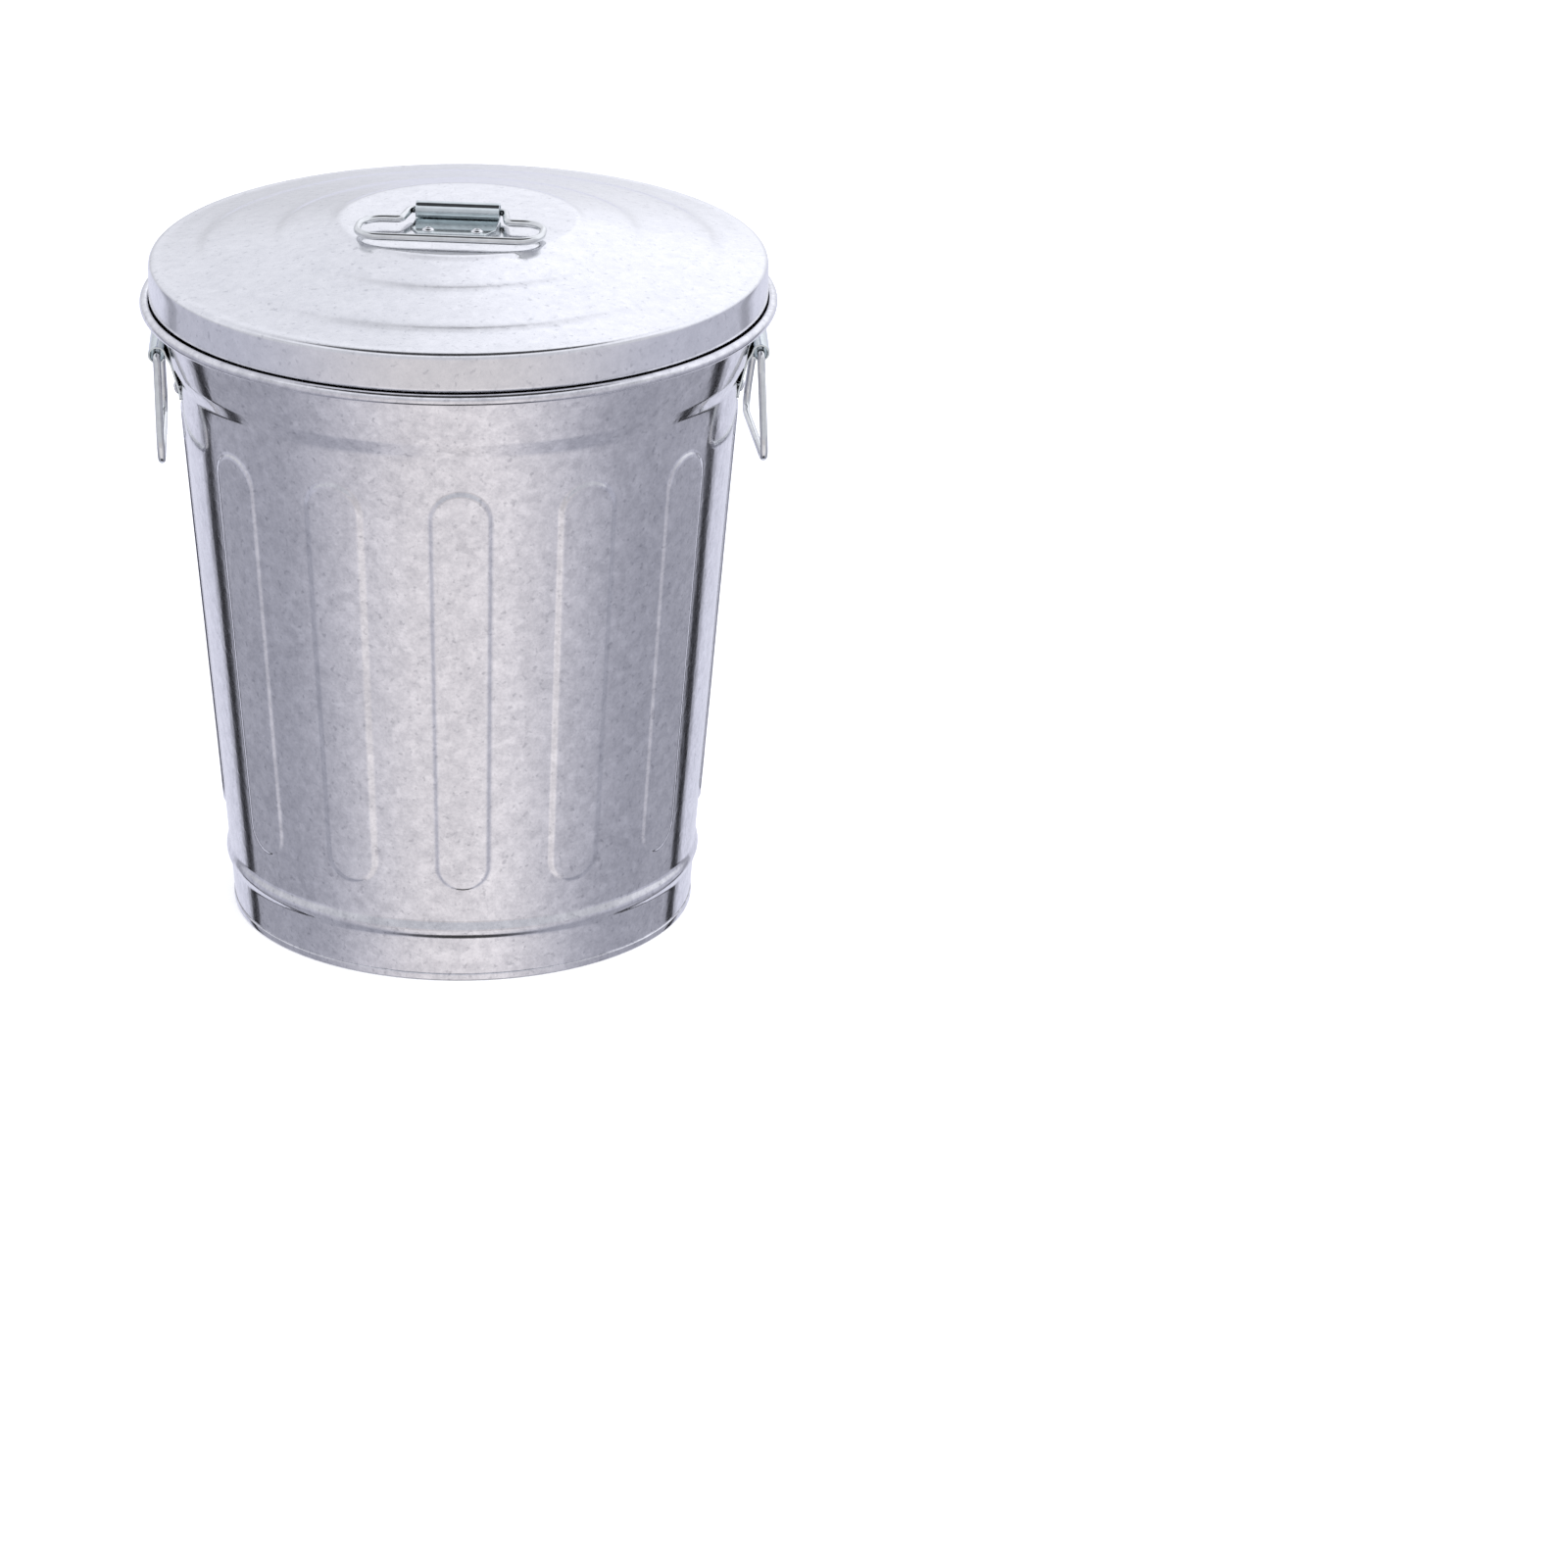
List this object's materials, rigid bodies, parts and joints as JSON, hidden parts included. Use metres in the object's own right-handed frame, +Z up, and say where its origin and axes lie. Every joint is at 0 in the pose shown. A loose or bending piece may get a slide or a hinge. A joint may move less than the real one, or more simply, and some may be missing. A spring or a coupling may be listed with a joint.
{
  "type": "trash can",
  "caption": "Round tapered galvanized steel trash can with vertical ribs, a rolled rim, a lift-off domed lid with a wire handle, and swinging wire side handles",
  "frame": {"origin": "centre of the base, on the floor under the bottom seam", "axes": "+Z up along the can's axis; -Y is the side the picture shows; +X is the viewer's right, and the side handles are on +X and -X"},
  "size_m": [0.33, 0.33, 0.3847],
  "materials": {
    "galvanized_sheet": "zinc spangle, semi-gloss",
    "galvanized_lid": "zinc spangle, semi-gloss",
    "steel_wire": "bright zinc plated",
    "ear_strap": "bright zinc plated",
    "rivet": "smooth",
    "mandrel_stub": "dull"
  },
  "bodies": {
    "can": {"body_shell": "galvanized_sheet", "rim_wire": "steel_wire", "bottom_pan": "galvanized_sheet", "left_ear": "ear_strap", "left_ear_rivets": "rivet", "left_ear_rivets_stubs": "mandrel_stub", "right_ear": "ear_strap", "right_ear_rivets": "rivet", "right_ear_rivets_stubs": "mandrel_stub"},
    "left_handle": {"left_bail": "steel_wire"},
    "right_handle": {"right_bail": "steel_wire"},
    "lid": {"lid_shell": "galvanized_lid", "lid_ear": "ear_strap", "lid_ear_rivets": "rivet", "lid_ear_rivets_stubs": "mandrel_stub"},
    "lid_handle": {"lid_bail": "steel_wire"}
  },
  "joints": [
    {"name": "left_bail_swing", "type": "hinge", "parent": "can", "child": "left_handle", "pos_m": [-0.1558, 0, 0.3092], "axis": [0, 1, 0], "range_deg": [-8, 145]},
    {"name": "right_bail_swing", "type": "hinge", "parent": "can", "child": "right_handle", "pos_m": [0.1558, 0, 0.3092], "axis": [0, -1, 0], "range_deg": [-6, 145]},
    {"name": "lid_lift", "type": "slide", "parent": "can", "child": "lid", "axis": [0, 0, 1], "range_m": [0, 0.25]},
    {"name": "lid_bail_swing", "type": "hinge", "parent": "lid", "child": "lid_handle", "pos_m": [-0.00013, -0.00099, 0.38012], "axis": [-0.9914, 0.1305, 0], "range_deg": [-2, 183]}
  ]
}
